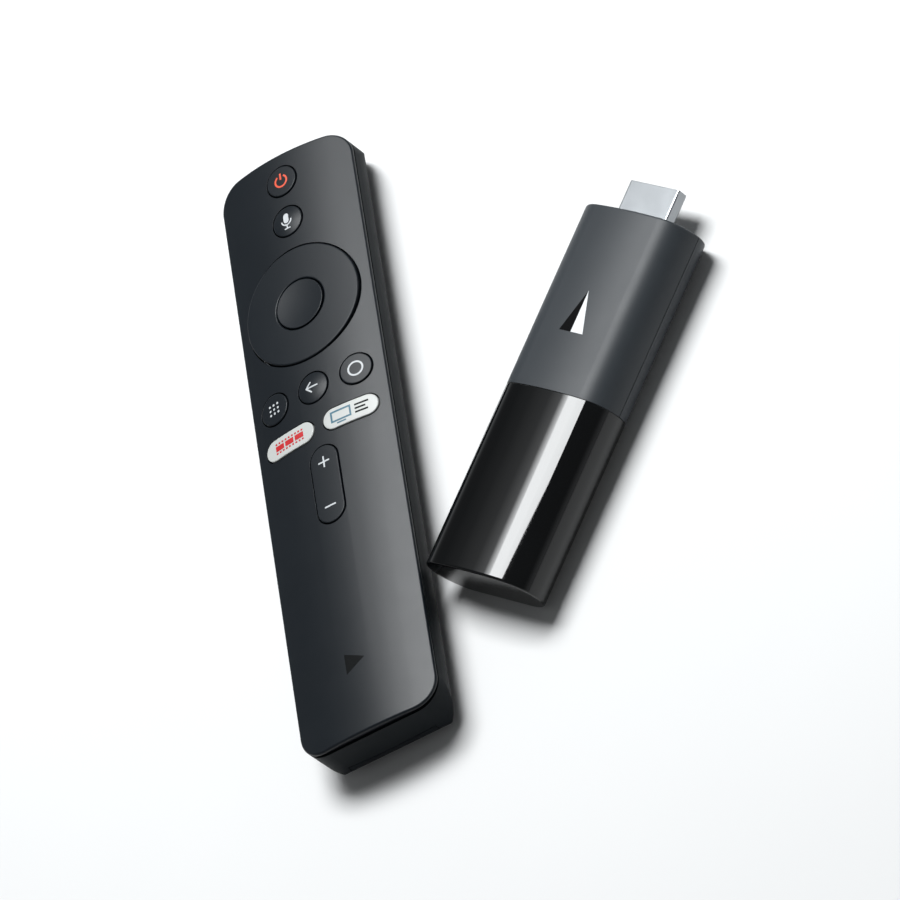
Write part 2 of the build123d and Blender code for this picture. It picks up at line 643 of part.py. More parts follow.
# ----------------------------------------------------------------------------------------------------
# Stick
# ----------------------------------------------------------------------------------------------------
def oval(inset):
    """The stick's section: flat back, round sides and a gently crowned front."""
    side = STICK_SIDE_RADIUS
    offset_x = STICK_WIDTH / 2 - side
    rise = STICK_THICKNESS - side
    front = (offset_x**2 + rise**2 - side**2) / (2 * (rise - side))
    to_side = hypot(offset_x, front - rise)
    unit_x, unit_z = offset_x / to_side, (front - rise) / to_side
    tangent = (offset_x + (side - inset) * unit_x, side + (side - inset) * unit_z)
    mirrored = (-tangent[0], tangent[1])
    with BuildSketch() as section:
        with BuildLine():
            Line((-offset_x, inset), (offset_x, inset))
            ThreePointArc((offset_x, inset), (STICK_WIDTH / 2 - inset, side), tangent)
            ThreePointArc(tangent, (0, STICK_THICKNESS - inset), mirrored)
            ThreePointArc(mirrored, (inset - STICK_WIDTH / 2, side), (-offset_x, inset))
        make_face()
    return section.sketch


def plug_outline(inset):
    """The plug's section about its own centre: square at the top, tapered at the bottom."""
    half_width, half_height = PLUG_WIDTH / 2, PLUG_HEIGHT / 2
    with BuildSketch() as section:
        with BuildLine():
            Polyline(
                (-half_width, half_height),
                (half_width, half_height),
                (half_width, -0.4),
                (half_width - 1.5, -half_height),
                (1.5 - half_width, -half_height),
                (-half_width, -0.4),
                close=True,
            )
        make_face()
        fillet(section.vertices(), 0.45)
        if inset:
            offset(amount=-inset, mode=Mode.REPLACE)
    return section.sketch


def stick_bar(inset, high_y, low_y, ease_ends=()):
    """A bar of the stick's section between two places along it."""
    with BuildPart() as bar:
        with BuildSketch(stick_section(high_y)):
            add(oval(inset))
        extrude(amount=high_y - low_y)
        for end in ease_ends:
            fillet(bar.faces().sort_by(STICK_AXIS)[end].edges(), STICK_EDGE_FILLET)
    return bar.part


def usb_cutter(grow):
    """A slot through the stick's left flank, where the power port opens."""
    with BuildPart() as cutter:
        with BuildSketch(stick_flank(-STICK_WIDTH / 2 - 1)):
            with Locations((USB_Y, STICK_SEAM_Z)):
                RectangleRounded(USB_WIDTH + grow, USB_HEIGHT + grow, 0.9)
        extrude(amount=USB_DEPTH + 1)
    return cutter.part


def build_stick_shell(name, keep):
    """One half of the housing: full section at the plug end, reduced to a liner inside the sleeve."""
    liner = SLEEVE_WALL + LINER_CLEARANCE
    liner_low_y = SLEEVE_WALL + LINER_CLEARANCE - HALF_LENGTH
    shift = STICK_SEAM_GAP / 2 if keep == Keep.TOP else -STICK_SEAM_GAP / 2
    with BuildPart() as shell:
        add(stick_bar(0.0, HALF_LENGTH, SLEEVE_TOP_Y, ease_ends=(-1,)))
        add(stick_bar(liner, SLEEVE_TOP_Y + 1, liner_low_y))
        add(stick_bar(STICK_WALL, HALF_LENGTH - STICK_WALL, SLEEVE_TOP_Y + 1.5), mode=Mode.SUBTRACT)
        add(stick_bar(liner + LINER_WALL, SLEEVE_TOP_Y + 2, liner_low_y + LINER_WALL), mode=Mode.SUBTRACT)
        with BuildSketch(stick_section(HALF_LENGTH + 1)):
            with Locations((0, PLUG_Z)):
                add(offset(plug_outline(0.0), amount=0.15, mode=Mode.PRIVATE))
        extrude(amount=STICK_WALL + 2, mode=Mode.SUBTRACT)
        add(usb_cutter(0.7), mode=Mode.SUBTRACT)
        if keep == Keep.BOTTOM:
            with BuildSketch(stick_flat(liner)):
                with Locations(*BOARD_SCREWS):
                    Circle(1.9)
            extrude(amount=MAIN_BOARD_Z - liner)
            with BuildSketch(stick_flat(MAIN_BOARD_Z)):
                with Locations(*BOARD_SCREWS):
                    Circle(SCREW_RADIUS + 0.02)
            extrude(amount=-4, mode=Mode.SUBTRACT)
        split(bisect_by=stick_flat(STICK_SEAM_Z + shift), keep=keep)
    save(shell.part, name)


BOARD_SCREWS = ((-9.3, 31.0), (9.3, 31.0), (-6.4, -34.5), (6.4, -34.5))


def build_gloss_sleeve():
    """The glossy tail half: one closed-end sleeve that slides over the liner."""
    with BuildPart() as gloss_sleeve:
        add(stick_bar(0.0, SLEEVE_TOP_Y - 0.12, -HALF_LENGTH, ease_ends=(0,)))
        add(stick_bar(SLEEVE_WALL, SLEEVE_TOP_Y + 1, SLEEVE_WALL - HALF_LENGTH), mode=Mode.SUBTRACT)
        add(usb_cutter(0.9), mode=Mode.SUBTRACT)
    save(gloss_sleeve.part, "gloss_sleeve")


def build_plug_shell():
    tip_y = HALF_LENGTH + PLUG_REACH
    length = PLUG_REACH + PLUG_ROOT
    with BuildPart() as plug_shell:
        with BuildSketch(stick_section(tip_y)):
            with Locations((0, PLUG_Z)):
                add(plug_outline(0.0))
                add(plug_outline(PLUG_WALL), mode=Mode.SUBTRACT)
        extrude(amount=length)
    save(plug_shell.part, "plug_shell")


def build_plug_insert():
    """The moulded insert: it lines the metal shell and has the slot that the mating tongue enters."""
    face_y = HALF_LENGTH + PLUG_REACH - 0.6
    with BuildPart() as plug_insert:
        with BuildSketch(stick_section(face_y)):
            with Locations((0, PLUG_Z)):
                add(plug_outline(PLUG_WALL + 0.02))
        extrude(amount=PLUG_REACH + PLUG_ROOT - 0.6)
        with BuildSketch(stick_section(face_y)):
            with Locations((0, PLUG_Z)):
                Rectangle(11.4, 1.7)
        extrude(amount=PLUG_REACH, mode=Mode.SUBTRACT)
    save(plug_insert.part, "plug_insert")


def build_plug_contacts():
    """Nineteen gold contact strips along the slot, ten above and nine below."""
    face_y = HALF_LENGTH + PLUG_REACH - 1.2
    with BuildPart() as plug_contacts:
        for count, side in ((10, 1), (9, -1)):
            with BuildSketch(stick_section(face_y)):
                with Locations((0, PLUG_Z + side * 0.74)):
                    with GridLocations(1.0, 0, count, 1):
                        Rectangle(0.5, 0.2)
            extrude(amount=PLUG_REACH - 1.0)
    save(plug_contacts.part, "plug_contacts")


def build_main_board():
    low_y, high_y = -38.0, HALF_LENGTH - PLUG_ROOT - 0.2
    with BuildPart() as main_board:
        with BuildSketch(stick_flat(MAIN_BOARD_Z)):
            with Locations((0, (low_y + high_y) / 2)):
                RectangleRounded(23.6, high_y - low_y, 2)
            with Locations(*BOARD_SCREWS):
                Circle(SCREW_RADIUS + 0.2, mode=Mode.SUBTRACT)
            with Locations((-11.8, USB_Y)):
                Rectangle(6.0, USB_WIDTH + 0.6, mode=Mode.SUBTRACT)
        extrude(amount=MAIN_BOARD_THICKNESS)
    save(main_board.part, "main_board")


def build_shield_can():
    """Pressed metal lid over the processor and memory, open underneath."""
    with BuildPart() as shield_can:
        with BuildSketch(stick_flat(MAIN_BOARD_TOP_Z)):
            with Locations((0, 11.5)):
                RectangleRounded(20, 30, 1)
        extrude(amount=2.2)
        with BuildSketch(stick_flat(MAIN_BOARD_TOP_Z)):
            with Locations((0, 11.5)):
                RectangleRounded(19.6, 29.6, 0.8)
        extrude(amount=2.0, mode=Mode.SUBTRACT)
    save(shield_can.part, "shield_can")


def build_chip_group(name, places, size):
    with BuildPart() as chips:
        with BuildSketch(stick_flat(MAIN_BOARD_TOP_Z)):
            with Locations(*places):
                Rectangle(size[0], size[1])
        extrude(amount=size[2])
    save(chips.part, name)


def build_stick_plate(name, z, centre, size):
    with BuildPart() as plate:
        with BuildSketch(stick_flat(z)):
            with Locations(centre):
                RectangleRounded(size[0], size[1], 1)
        extrude(amount=size[2])
    save(plate.part, name)


def build_wifi_antenna():
    """A stamped antenna: a foot on the board and an upright fin along the tail."""
    with BuildPart() as wifi_antenna:
        with BuildSketch(stick_flat(MAIN_BOARD_TOP_Z)):
            with Locations((0, -34.5)):
                Rectangle(8.4, 3.4)
        extrude(amount=0.3)
        with BuildSketch(stick_flat(MAIN_BOARD_TOP_Z)):
            with Locations((0, -36.05)):
                Rectangle(8.4, 0.3)
        extrude(amount=3.2)
    save(wifi_antenna.part, "wifi_antenna")


def build_usb_port():
    """The power socket's metal shell, just inside the left flank."""
    with BuildPart() as usb_port:
        with BuildSketch(stick_flank(0.5 - STICK_WIDTH / 2)):
            with Locations((USB_Y, STICK_SEAM_Z)):
                RectangleRounded(USB_WIDTH, USB_HEIGHT, 0.7)
        extrude(amount=USB_DEPTH)
        with BuildSketch(stick_flank(0.5 - STICK_WIDTH / 2)):
            with Locations((USB_Y, STICK_SEAM_Z)):
                RectangleRounded(USB_WIDTH - 0.5, USB_HEIGHT - 0.5, 0.5)
        extrude(amount=USB_DEPTH - 0.4, mode=Mode.SUBTRACT)
    save(usb_port.part, "usb_port")


def build_usb_tongue():
    with BuildPart() as usb_tongue:
        with BuildSketch(stick_flank(1.3 - STICK_WIDTH / 2)):
            with Locations((USB_Y, STICK_SEAM_Z + 0.45)):
                Rectangle(4.6, 0.6)
        extrude(amount=USB_DEPTH - 1.2)
    save(usb_tongue.part, "usb_tongue")


def build_board_screws():
    with BuildPart() as board_screws:
        with BuildSketch(stick_flat(MAIN_BOARD_TOP_Z)):
            with Locations(*BOARD_SCREWS):
                Circle(SCREW_HEAD_RADIUS)
        extrude(amount=0.8)
        with BuildSketch(stick_flat(MAIN_BOARD_TOP_Z)):
            with Locations(*BOARD_SCREWS):
                Circle(SCREW_RADIUS)
        extrude(amount=-4)
        with BuildSketch(stick_flat(MAIN_BOARD_TOP_Z + 0.8)):
            with Locations(*BOARD_SCREWS):
                Rectangle(1.6, 0.3)
                Rectangle(0.3, 1.6)
        extrude(amount=-0.4, mode=Mode.SUBTRACT)
    save(board_screws.part, "board_screws")


# ----------------------------------------------------------------------------------------------------
# Build everything
# ----------------------------------------------------------------------------------------------------
build_remote_top_shell()
build_remote_bottom_shell()
build_battery_door()
for key_name, key_centre in ROUND_KEYS.items():
    build_round_key(key_name, key_centre)
for key_name, key_centre in PILL_KEYS.items():
    build_slot_key(key_name, key_centre, PILL_LENGTH, PILL_WIDTH, 0)
build_slot_key("volume_rocker", (0, ROCKER_Y), ROCKER_LENGTH, ROCKER_WIDTH, 90)
build_dpad_ring()
build_ok_button()
build_dpad_carrier()
build_dpad_pad()
build_keypad_sheet()
build_dome_switches()
build_remote_board()
build_block("radio_chip", (0, -6), (6, 6, 1.0), Plane.XY.offset(BOARD_Z - 1.0))
build_microphone()
build_cell("battery_left", *cell_places()[0])
build_cell("battery_right", *cell_places()[1])
build_battery_plates()
build_battery_springs()
build_case_screws()

build_stick_shell("stick_front_shell", Keep.TOP)
build_stick_shell("stick_back_shell", Keep.BOTTOM)
build_gloss_sleeve()
build_plug_shell()
build_plug_insert()
build_plug_contacts()
build_main_board()
build_shield_can()
build_chip_group("processor_chip", [(0, 17)], (12, 12, 1.2))
build_chip_group("memory_chips", [(-4.8, 3.5), (4.8, 3.5)], (8, 11, 1.0))
build_chip_group("wifi_module", [(3.5, -17)], (12, 12, 1.8))
build_stick_plate("thermal_pad", MAIN_BOARD_TOP_Z + 2.2, (0, 14), (14, 16, 0.8))
build_stick_plate("heat_spreader", MAIN_BOARD_TOP_Z + 3.0, (0, 4), (18.5, 56, 0.8))
build_wifi_antenna()
build_usb_port()
build_usb_tongue()
build_board_screws()
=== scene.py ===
import bmesh
import bpy
import json
from math import atan, cos, pi, radians, sin
from mathutils import Matrix, Vector
from mathutils.bvhtree import BVHTree


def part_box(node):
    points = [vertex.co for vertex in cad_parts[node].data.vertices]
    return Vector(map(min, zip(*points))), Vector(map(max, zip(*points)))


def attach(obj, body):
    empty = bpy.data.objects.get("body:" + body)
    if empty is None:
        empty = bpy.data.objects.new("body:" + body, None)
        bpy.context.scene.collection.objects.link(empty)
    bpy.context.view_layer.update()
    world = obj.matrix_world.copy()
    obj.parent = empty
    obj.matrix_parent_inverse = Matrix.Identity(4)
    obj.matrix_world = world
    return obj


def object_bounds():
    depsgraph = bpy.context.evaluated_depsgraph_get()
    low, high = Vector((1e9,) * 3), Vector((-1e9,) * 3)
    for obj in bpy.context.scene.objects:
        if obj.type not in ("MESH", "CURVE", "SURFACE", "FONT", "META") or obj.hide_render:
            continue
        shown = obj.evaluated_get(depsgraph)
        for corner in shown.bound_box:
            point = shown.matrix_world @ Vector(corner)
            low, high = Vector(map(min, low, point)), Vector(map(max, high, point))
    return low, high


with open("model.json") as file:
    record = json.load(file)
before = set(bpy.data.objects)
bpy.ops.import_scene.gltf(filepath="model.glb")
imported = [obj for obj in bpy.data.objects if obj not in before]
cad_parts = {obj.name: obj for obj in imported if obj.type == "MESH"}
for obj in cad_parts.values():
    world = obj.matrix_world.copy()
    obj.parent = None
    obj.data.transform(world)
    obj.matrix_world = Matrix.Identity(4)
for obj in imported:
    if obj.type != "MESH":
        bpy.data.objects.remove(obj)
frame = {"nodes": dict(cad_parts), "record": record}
nodes = frame["nodes"]
start_low, start_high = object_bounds()
scene = bpy.context.scene
MM = 0.001


# ----------------------------------------------------------------------------------------------------
# Materials
# ----------------------------------------------------------------------------------------------------
def linear(srgb):
    """A colour given as 0-255 screen values, as linear RGBA."""
    out = []
    for channel in srgb:
        c = channel / 255
        out.append(c / 12.92 if c <= 0.04045 else ((c + 0.055) / 1.055) ** 2.4)
    return (*out, 1.0)


def material(name, low, high, rough, grain=9000, bump=0.12, rough_spread=0.06, metal=0.0, specular=0.5,
             bevel=0.12, wear=0.2, mottle=60, stretch=(1, 1, 1)):
    """A procedural finish: broad colour variation, fine grain in the surface, softened edges that are a
    little paler, and a roughness that varies. bevel is in millimetres, grain and mottle are per metre."""
    made = bpy.data.materials.new(name)
    made.use_nodes = True
    tree = made.node_tree
    tree.nodes.clear()

    def node(kind, **inputs):
        n = tree.nodes.new(kind)
        for key, value in inputs.items():
            n.inputs[key.replace("_", " ")].default_value = value
        return n

    link = tree.links.new
    out = node("ShaderNodeOutputMaterial")
    shader = node("ShaderNodeBsdfPrincipled", Metallic=metal)
    shader.inputs["Specular IOR Level"].default_value = specular
    link(shader.outputs[0], out.inputs[0])
    where = node("ShaderNodeTexCoord")
    scaled = node("ShaderNodeMapping")
    scaled.inputs["Scale"].default_value = stretch
    link(where.outputs["Object"], scaled.inputs[0])

    # broad variation of colour
    broad = node("ShaderNodeTexNoise", Scale=mottle, Detail=4.0, Roughness=0.6)
    link(scaled.outputs[0], broad.inputs["Vector"])
    ramp = node("ShaderNodeValToRGB")
    ramp.color_ramp.elements[0].position = 0.35
    ramp.color_ramp.elements[0].color = linear(low)
    ramp.color_ramp.elements[1].position = 0.65
    ramp.color_ramp.elements[1].color = linear(high)
    link(broad.outputs[0], ramp.inputs[0])

    # edges catch the light and rub paler
    soft = node("ShaderNodeBevel", Radius=bevel * MM)
    soft.samples = 4
    surface = node("ShaderNodeNewGeometry")
    along = tree.nodes.new("ShaderNodeVectorMath")
    along.operation = "DOT_PRODUCT"
    link(soft.outputs[0], along.inputs[0])
    link(surface.outputs["Normal"], along.inputs[1])
    edge = node("ShaderNodeMapRange")
    edge.inputs["From Min"].default_value = 1.0
    edge.inputs["From Max"].default_value = 0.8
    edge.inputs["To Max"].default_value = wear
    link(along.outputs["Value"], edge.inputs[0])
    worn = tree.nodes.new("ShaderNodeMix")
    worn.data_type = "RGBA"
    worn.inputs["B"].default_value = linear([min(255, c * 1.25 + 14) for c in high])
    link(edge.outputs[0], worn.inputs["Factor"])
    link(ramp.outputs[0], worn.inputs["A"])
    link(worn.outputs["Result"], shader.inputs["Base Color"])

    # roughness and grain
    fine = node("ShaderNodeTexNoise", Scale=grain, Detail=2.0, Roughness=0.5)
    link(scaled.outputs[0], fine.inputs["Vector"])
    handled = node("ShaderNodeTexNoise", Scale=mottle * 3, Detail=5.0, Roughness=0.65)
    link(scaled.outputs[0], handled.inputs["Vector"])
    spread = node("ShaderNodeMapRange")
    spread.inputs["From Min"].default_value = 0.3
    spread.inputs["From Max"].default_value = 0.7
    spread.inputs["To Min"].default_value = max(0.01, rough - rough_spread)
    spread.inputs["To Max"].default_value = rough + rough_spread
    link(handled.outputs[0], spread.inputs[0])
    link(spread.outputs[0], shader.inputs["Roughness"])
    relief = node("ShaderNodeBump", Strength=bump, Distance=0.02 * MM)
    link(fine.outputs[0], relief.inputs["Height"])
    link(soft.outputs[0], relief.inputs["Normal"])
    link(relief.outputs[0], shader.inputs["Normal"])
    return made


FINISHES = {
    "dark_shell": dict(low=(16, 21, 26), high=(18, 23, 28), rough=0.35, rough_spread=0.012, grain=9000, bump=0.3,
                       specular=0.26, wear=0.12),
    "matte_back": dict(low=(21, 25, 28), high=(23, 27, 30), rough=0.55, rough_spread=0.02, grain=9000, bump=0.4,
                       specular=0.08, wear=0.1),
    "dark_key": dict(low=(17, 22, 27), high=(19, 24, 29), rough=0.38, rough_spread=0.012, grain=9000, bump=0.3,
                     specular=0.22, wear=0.06),
    "service_key": dict(low=(178, 180, 178), high=(183, 185, 183), rough=0.3, grain=5000, bump=0.1, bevel=0.25,
                        specular=0.3, wear=0.5),
    "stick_shell": dict(low=(46, 50, 54), high=(49, 53, 57), rough=0.44, rough_spread=0.012, grain=7000, bump=0.4,
                        specular=0.3, wear=0.12),
    "gloss_black": dict(low=(5, 6, 7), high=(7, 8, 9), rough=0.045, rough_spread=0.012, grain=600, bump=0.01,
                        specular=0.46, wear=0.05, bevel=0.1),
    "plug_metal": dict(low=(146, 149, 152), high=(152, 155, 158), rough=0.3, rough_spread=0.02, grain=3000,
                       bump=0.15, metal=1.0, stretch=(1, 1, 3), bevel=0.2, wear=0.3),
    "insert_plastic": dict(low=(20, 20, 22), high=(26, 26, 28), rough=0.5),
    "gold": dict(low=(206, 160, 82), high=(220, 176, 98), rough=0.25, metal=1.0, bevel=0.05),
    "circuit_board": dict(low=(16, 66, 40), high=(22, 78, 48), rough=0.35, grain=2500, mottle=240),
    "chip": dict(low=(24, 24, 26), high=(32, 32, 34), rough=0.55, grain=6000, bump=0.3),
    "shield_steel": dict(low=(168, 172, 175), high=(186, 190, 193), rough=0.35, metal=1.0, stretch=(1, 6, 1)),
    "thermal_pad": dict(low=(142, 162, 182), high=(154, 174, 194), rough=0.7, grain=4000, bump=0.4),
    "heat_spreader": dict(low=(182, 184, 187), high=(196, 198, 201), rough=0.38, metal=1.0, stretch=(6, 1, 1)),
    "spring_steel": dict(low=(182, 184, 184), high=(198, 200, 200), rough=0.25, metal=1.0, bevel=0.04),
    "screw_steel": dict(low=(112, 114, 118), high=(132, 134, 138), rough=0.3, metal=1.0, bevel=0.06, wear=0.5),
    "silicone": dict(low=(90, 94, 98), high=(98, 102, 106), rough=0.65, grain=5000, bump=0.3),
    "dpad_pad": dict(low=(66, 70, 74), high=(74, 78, 82), rough=0.7, grain=5000, bump=0.3),
    "cell_sleeve": dict(low=(34, 74, 112), high=(42, 86, 126), rough=0.28, metal=0.6, bevel=0.2),
}
INKS = {
    "ink_pale": dict(low=(176, 180, 183), high=(186, 189, 192), rough=0.45),
    "ink_orange": dict(low=(200, 66, 34), high=(210, 76, 42), rough=0.45),
    "ink_red": dict(low=(172, 24, 30), high=(184, 32, 38), rough=0.4),
    "ink_teal": dict(low=(24, 82, 102), high=(32, 92, 112), rough=0.4),
    "ink_white": dict(low=(206, 208, 210), high=(214, 216, 218), rough=0.4),
    "ink_black": dict(low=(3, 3, 4), high=(5, 5, 6), rough=0.6, specular=0.05),
    "ink_dark": dict(low=(7, 9, 10), high=(10, 12, 13), rough=0.55, specular=0.08),
}
made_materials = {}
for name, finish in FINISHES.items():
    made_materials[name] = material(name + "_finish", **finish)
for name, finish in INKS.items():
    made_materials[name] = material(name, grain=4000, bump=0.15, bevel=0.02, wear=0.05, mottle=900, **finish)
for node in nodes.values():
    for place in node.material_slots:
        place.material = made_materials[place.material.name.split(".")[0]]
for name in ("remote_bottom_shell", "battery_door"):
    nodes[name].material_slots[0].material = made_materials["matte_back"]


# ----------------------------------------------------------------------------------------------------
# Printed marks: flat shapes in millimetres, laid on a CAD surface and given the thickness of an ink film
# ----------------------------------------------------------------------------------------------------
def patch(corners, across, along):
    """A four-sided area as a grid of quads."""
    a, b, c, d = [Vector(p) for p in corners]
    points = []
    for i in range(along + 1):
        v = i / along
        for j in range(across + 1):
            u = j / across
            points.append((a.lerp(b, u)).lerp(d.lerp(c, u), v))
    return points, across, along


def bar(start, end, width, cell=0.3):
    """A straight stroke."""
    a, b = Vector(start), Vector(end)
    way = (b - a).normalized()
    side = Vector((way.y, -way.x)) * width / 2
    steps = max(1, round((b - a).length / cell))
    return patch((a - side, a + side, b + side, b - side), max(1, round(width / cell)), steps)


def arc(centre, inner, outer, from_angle, to_angle, cell=0.25):
    """Part of a ring, or a disc if inner is nothing. Angles are in degrees, anticlockwise from +x."""
    steps = max(8, round(abs(radians(to_angle - from_angle)) * outer / cell))
    rings = max(1, round((outer - inner) / cell))
    points = []
    for i in range(steps + 1):
        angle = radians(from_angle + (to_angle - from_angle) * i / steps)
        for j in range(rings + 1):
            radius = inner + (outer - inner) * j / rings
            points.append(Vector((centre[0] + radius * cos(angle), centre[1] + radius * sin(angle))))
    return points, rings, steps


def triangle(a, b, c, cells=8):
    """A filled triangle as a grid that closes to a point at c."""
    return patch((a, b, c, c), cells, cells)


def surface_under(node):
    """The CAD surface that a mark is laid on, for casting rays at."""
    mesh = nodes[node].data
    verts = [v.co.copy() for v in mesh.vertices]
    return BVHTree.FromPolygons(verts, [list(f.vertices) for f in mesh.polygons])


RAY_HEIGHT = 0.1  # rays are cast down from here, in metres, well above the part
DOWN = Vector((0, 0, -1))


def print_mark(name, node, body, shapes, ink, origin, x_way=(1, 0), film=0.03):
    """Lays shapes on the top of a CAD node. origin and x_way place the drawing, seen from above. film is
    how far the ink stands above the surface, in millimetres; it reaches as far below it."""
    tree = surface_under(node)
    x_way = Vector((x_way[0], x_way[1])).normalized()
    y_way = Vector((-x_way.y, x_way.x))
    mesh = bmesh.new()
    for points, across, along in shapes:
        verts = []
        for p in points:
            flat = Vector(origin[:2]) + (x_way * p.x + y_way * p.y) * MM
            hit = tree.ray_cast(Vector((flat.x, flat.y, RAY_HEIGHT)), DOWN)[0]
            verts.append(mesh.verts.new((flat.x, flat.y, hit.z + film * MM)))
        row = across + 1
        for i in range(along):
            for j in range(across):
                corner = [i * row + j, i * row + j + 1, (i + 1) * row + j + 1, (i + 1) * row + j]
                mesh.faces.new([verts[k] for k in corner])
    bmesh.ops.remove_doubles(mesh, verts=mesh.verts, dist=1e-6)
    bmesh.ops.dissolve_degenerate(mesh, edges=mesh.edges, dist=1e-7)
    lower = bmesh.ops.extrude_face_region(mesh, geom=list(mesh.faces))["geom"]
    for v in lower:
        if isinstance(v, bmesh.types.BMVert):
            v.co.z -= 2 * film * MM
    bmesh.ops.recalc_face_normals(mesh, faces=mesh.faces)
    data = bpy.data.meshes.new(name)
    mesh.to_mesh(data)
    mesh.free()
    piece = bpy.data.objects.new(name, data)
    scene.collection.objects.link(piece)
    data.materials.append(made_materials[ink])
    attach(piece, body)
    return piece


def middle(node):
    """The middle of a CAD node's box."""
    low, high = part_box(node)
    return (low + high) / 2


# power: a ring with a gap at its top, and an upright stroke in the gap
RING_GAP = 32  # degrees to each side of the top
power_mark = [
    arc((0, 0), 1.22, 1.66, 90 + RING_GAP, 90 + 360 - RING_GAP),
    bar((0, 0.35), (0, 2.0), 0.44),
]
print_mark("power_mark", "power_button", "power_button", power_mark, "ink_orange", middle("power_button"))

# voice: a plain microphone
voice_mark = [
    bar((0, -0.1), (0, 1.15), 1.3),
    arc((0, 1.15), 0, 0.65, 0, 180),
    arc((0, -0.1), 0, 0.65, 180, 360),
    arc((0, 0), 1.05, 1.35, 180, 360),
    bar((0, -1.3), (0, -1.95), 0.3),
    bar((-0.75, -2.08), (0.75, -2.08), 0.28),
]
print_mark("voice_mark", "voice_button", "voice_button", voice_mark, "ink_pale", middle("voice_button"))

# apps: nine dots
apps_mark = []
for i in (-1, 0, 1):
    for j in (-1, 0, 1):
        apps_mark.append(arc((i * 1.08, j * 1.08), 0, 0.29, 0, 360, cell=0.2))
print_mark("apps_mark", "apps_button", "apps_button", apps_mark, "ink_pale", middle("apps_button"))

# back: an arrow
ARROW = 1.5
back_mark = [
    bar((-ARROW + 0.25, 0), (ARROW, 0), 0.36),
    bar((-ARROW, -0.05), (-ARROW + 1.35, 1.3), 0.36),
    bar((-ARROW, 0.05), (-ARROW + 1.35, -1.3), 0.36),
]
print_mark("back_mark", "back_button", "back_button", back_mark, "ink_pale", middle("back_button"))

# home: a ring
print_mark("home_mark", "home_button", "home_button", [arc((0, 0), 1.45, 1.86, 0, 360)], "ink_pale",
           middle("home_button"))

# volume: plus and minus near the ends of the rocker
rocker_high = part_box("volume_rocker")[1]
rocker_middle = middle("volume_rocker")
SIGN_FROM_END = 4.05  # from each end of the rocker to the middle of its sign
plus_y = (rocker_high.y - rocker_middle.y) / MM - SIGN_FROM_END
volume_marks = [
    bar((-1.4, plus_y), (1.4, plus_y), 0.38),
    bar((0, plus_y + 0.19), (0, plus_y + 1.4), 0.38),
    bar((0, plus_y - 0.19), (0, plus_y - 1.4), 0.38),
    bar((-1.4, -plus_y), (1.4, -plus_y), 0.38),
]
print_mark("volume_marks", "volume_rocker", "volume_rocker", volume_marks, "ink_pale", rocker_middle)

# left service key: a strip of film
FRAMES, FRAME_WIDTH, FRAME_HEIGHT, FRAME_GAP = 3, 2.3, 1.3, 0.4
HOLES, HOLE_PITCH, HOLE_HALF_LENGTH, HOLE_WIDTH, HOLE_OUT = 9, 0.9, 0.24, 0.42, 1.15
strip_mark = []
for i in range(FRAMES):
    x = (i - (FRAMES - 1) / 2) * (FRAME_WIDTH + FRAME_GAP)
    strip_mark.append(bar((x - FRAME_WIDTH / 2, 0), (x + FRAME_WIDTH / 2, 0), FRAME_HEIGHT))
for side in (-1, 1):
    for i in range(HOLES):
        x = (i - (HOLES - 1) / 2) * HOLE_PITCH
        y = side * HOLE_OUT
        strip_mark.append(bar((x - HOLE_HALF_LENGTH, y), (x + HOLE_HALF_LENGTH, y), HOLE_WIDTH))
print_mark("film_mark", "left_service_button", "left_service_button", strip_mark, "ink_red",
           middle("left_service_button"))

# right service key: a screen on a stand, with three short lines beside it
screen_mark = [
    bar((-4.7, 1.4), (0.3, 1.4), 0.44),
    bar((-4.7, -0.95), (0.3, -0.95), 0.44),
    bar((-4.48, -0.73), (-4.48, 1.18), 0.44),
    bar((0.08, -0.73), (0.08, 1.18), 0.44),
    bar((-3.3, -1.62), (-1.1, -1.62), 0.36),
]
print_mark("screen_mark", "right_service_button", "right_service_button", screen_mark, "ink_teal",
           middle("right_service_button"))
line_mark = [
    bar((1.2, 1.05), (4.5, 1.05), 0.42),
    bar((1.2, 0.1), (3.7, 0.1), 0.42),
    bar((1.2, -0.85), (4.2, -0.85), 0.42),
]
print_mark("line_mark", "right_service_button", "right_service_button", line_mark, "ink_dark",
           middle("right_service_button"))

# a small plain triangle low on the remote's face
EMBLEM_Y = -57.5  # along the remote from its middle, in millimetres
emblem_mark = [triangle((-2.4, -2.5), (-2.4, 2.5), (2.4, 0))]
print_mark("remote_emblem", "remote_top_shell", "remote", emblem_mark, "ink_dark", Vector((0, EMBLEM_Y * MM, 0)),
           film=0.02)

# a triangle on the stick, black in its left half and white in its right, that points to the plug
plug_mount = [m for m in frame["record"]["mounts"] if m["name"] == "hdmi_plug"][0]
stick_way = Vector(plug_mount["axis"])
plug_tip = Vector(plug_mount["pos_m"])
MARK_FROM_TIP = 32.2  # back from the plug's mount, in millimetres
mark_centre = plug_tip - stick_way * MARK_FROM_TIP * MM
stick_x = (stick_way.y, -stick_way.x)
MARK_HALF_WIDTH, MARK_HALF_LENGTH = 3.3, 4.8
tip = (0, MARK_HALF_LENGTH)
foot = (0, -MARK_HALF_LENGTH)
print_mark("stick_mark_left", "stick_front_shell", "stick",
           [triangle((-MARK_HALF_WIDTH, -MARK_HALF_LENGTH), foot, tip)], "ink_black", mark_centre, stick_x)
print_mark("stick_mark_right", "stick_front_shell", "stick",
           [triangle(foot, (MARK_HALF_WIDTH, -MARK_HALF_LENGTH), tip)], "ink_white", mark_centre, stick_x)


